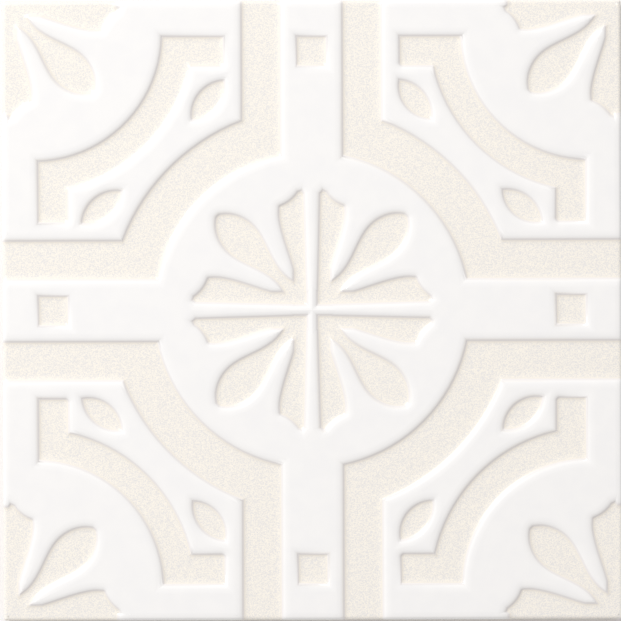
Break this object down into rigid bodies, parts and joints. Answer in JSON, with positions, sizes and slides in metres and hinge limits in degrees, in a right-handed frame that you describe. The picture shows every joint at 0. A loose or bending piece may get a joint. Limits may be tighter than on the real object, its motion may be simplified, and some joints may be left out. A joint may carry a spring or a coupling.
{
  "type": "relief wall tile",
  "caption": "Square glazed wall tile with a sunk relief: cross arms round a central disc with a rosette, curved bands, leaves and quarter rosettes at the corners, ribbed back.",
  "frame": {"origin": "centre of the tile's back, on the plane that its back ribs rest on", "axes": "+Z out of the glazed face, +X and +Y along the sides, with the picture's up as +Y"},
  "size_m": [0.2, 0.2, 0.008],
  "materials": {
    "glazed_ceramic": "white gloss glaze on the raised relief, fine-stippled ivory glaze on the sunk ground"
  },
  "bodies": {
    "root": {"tile": "glazed_ceramic"}
  },
  "joints": []
}
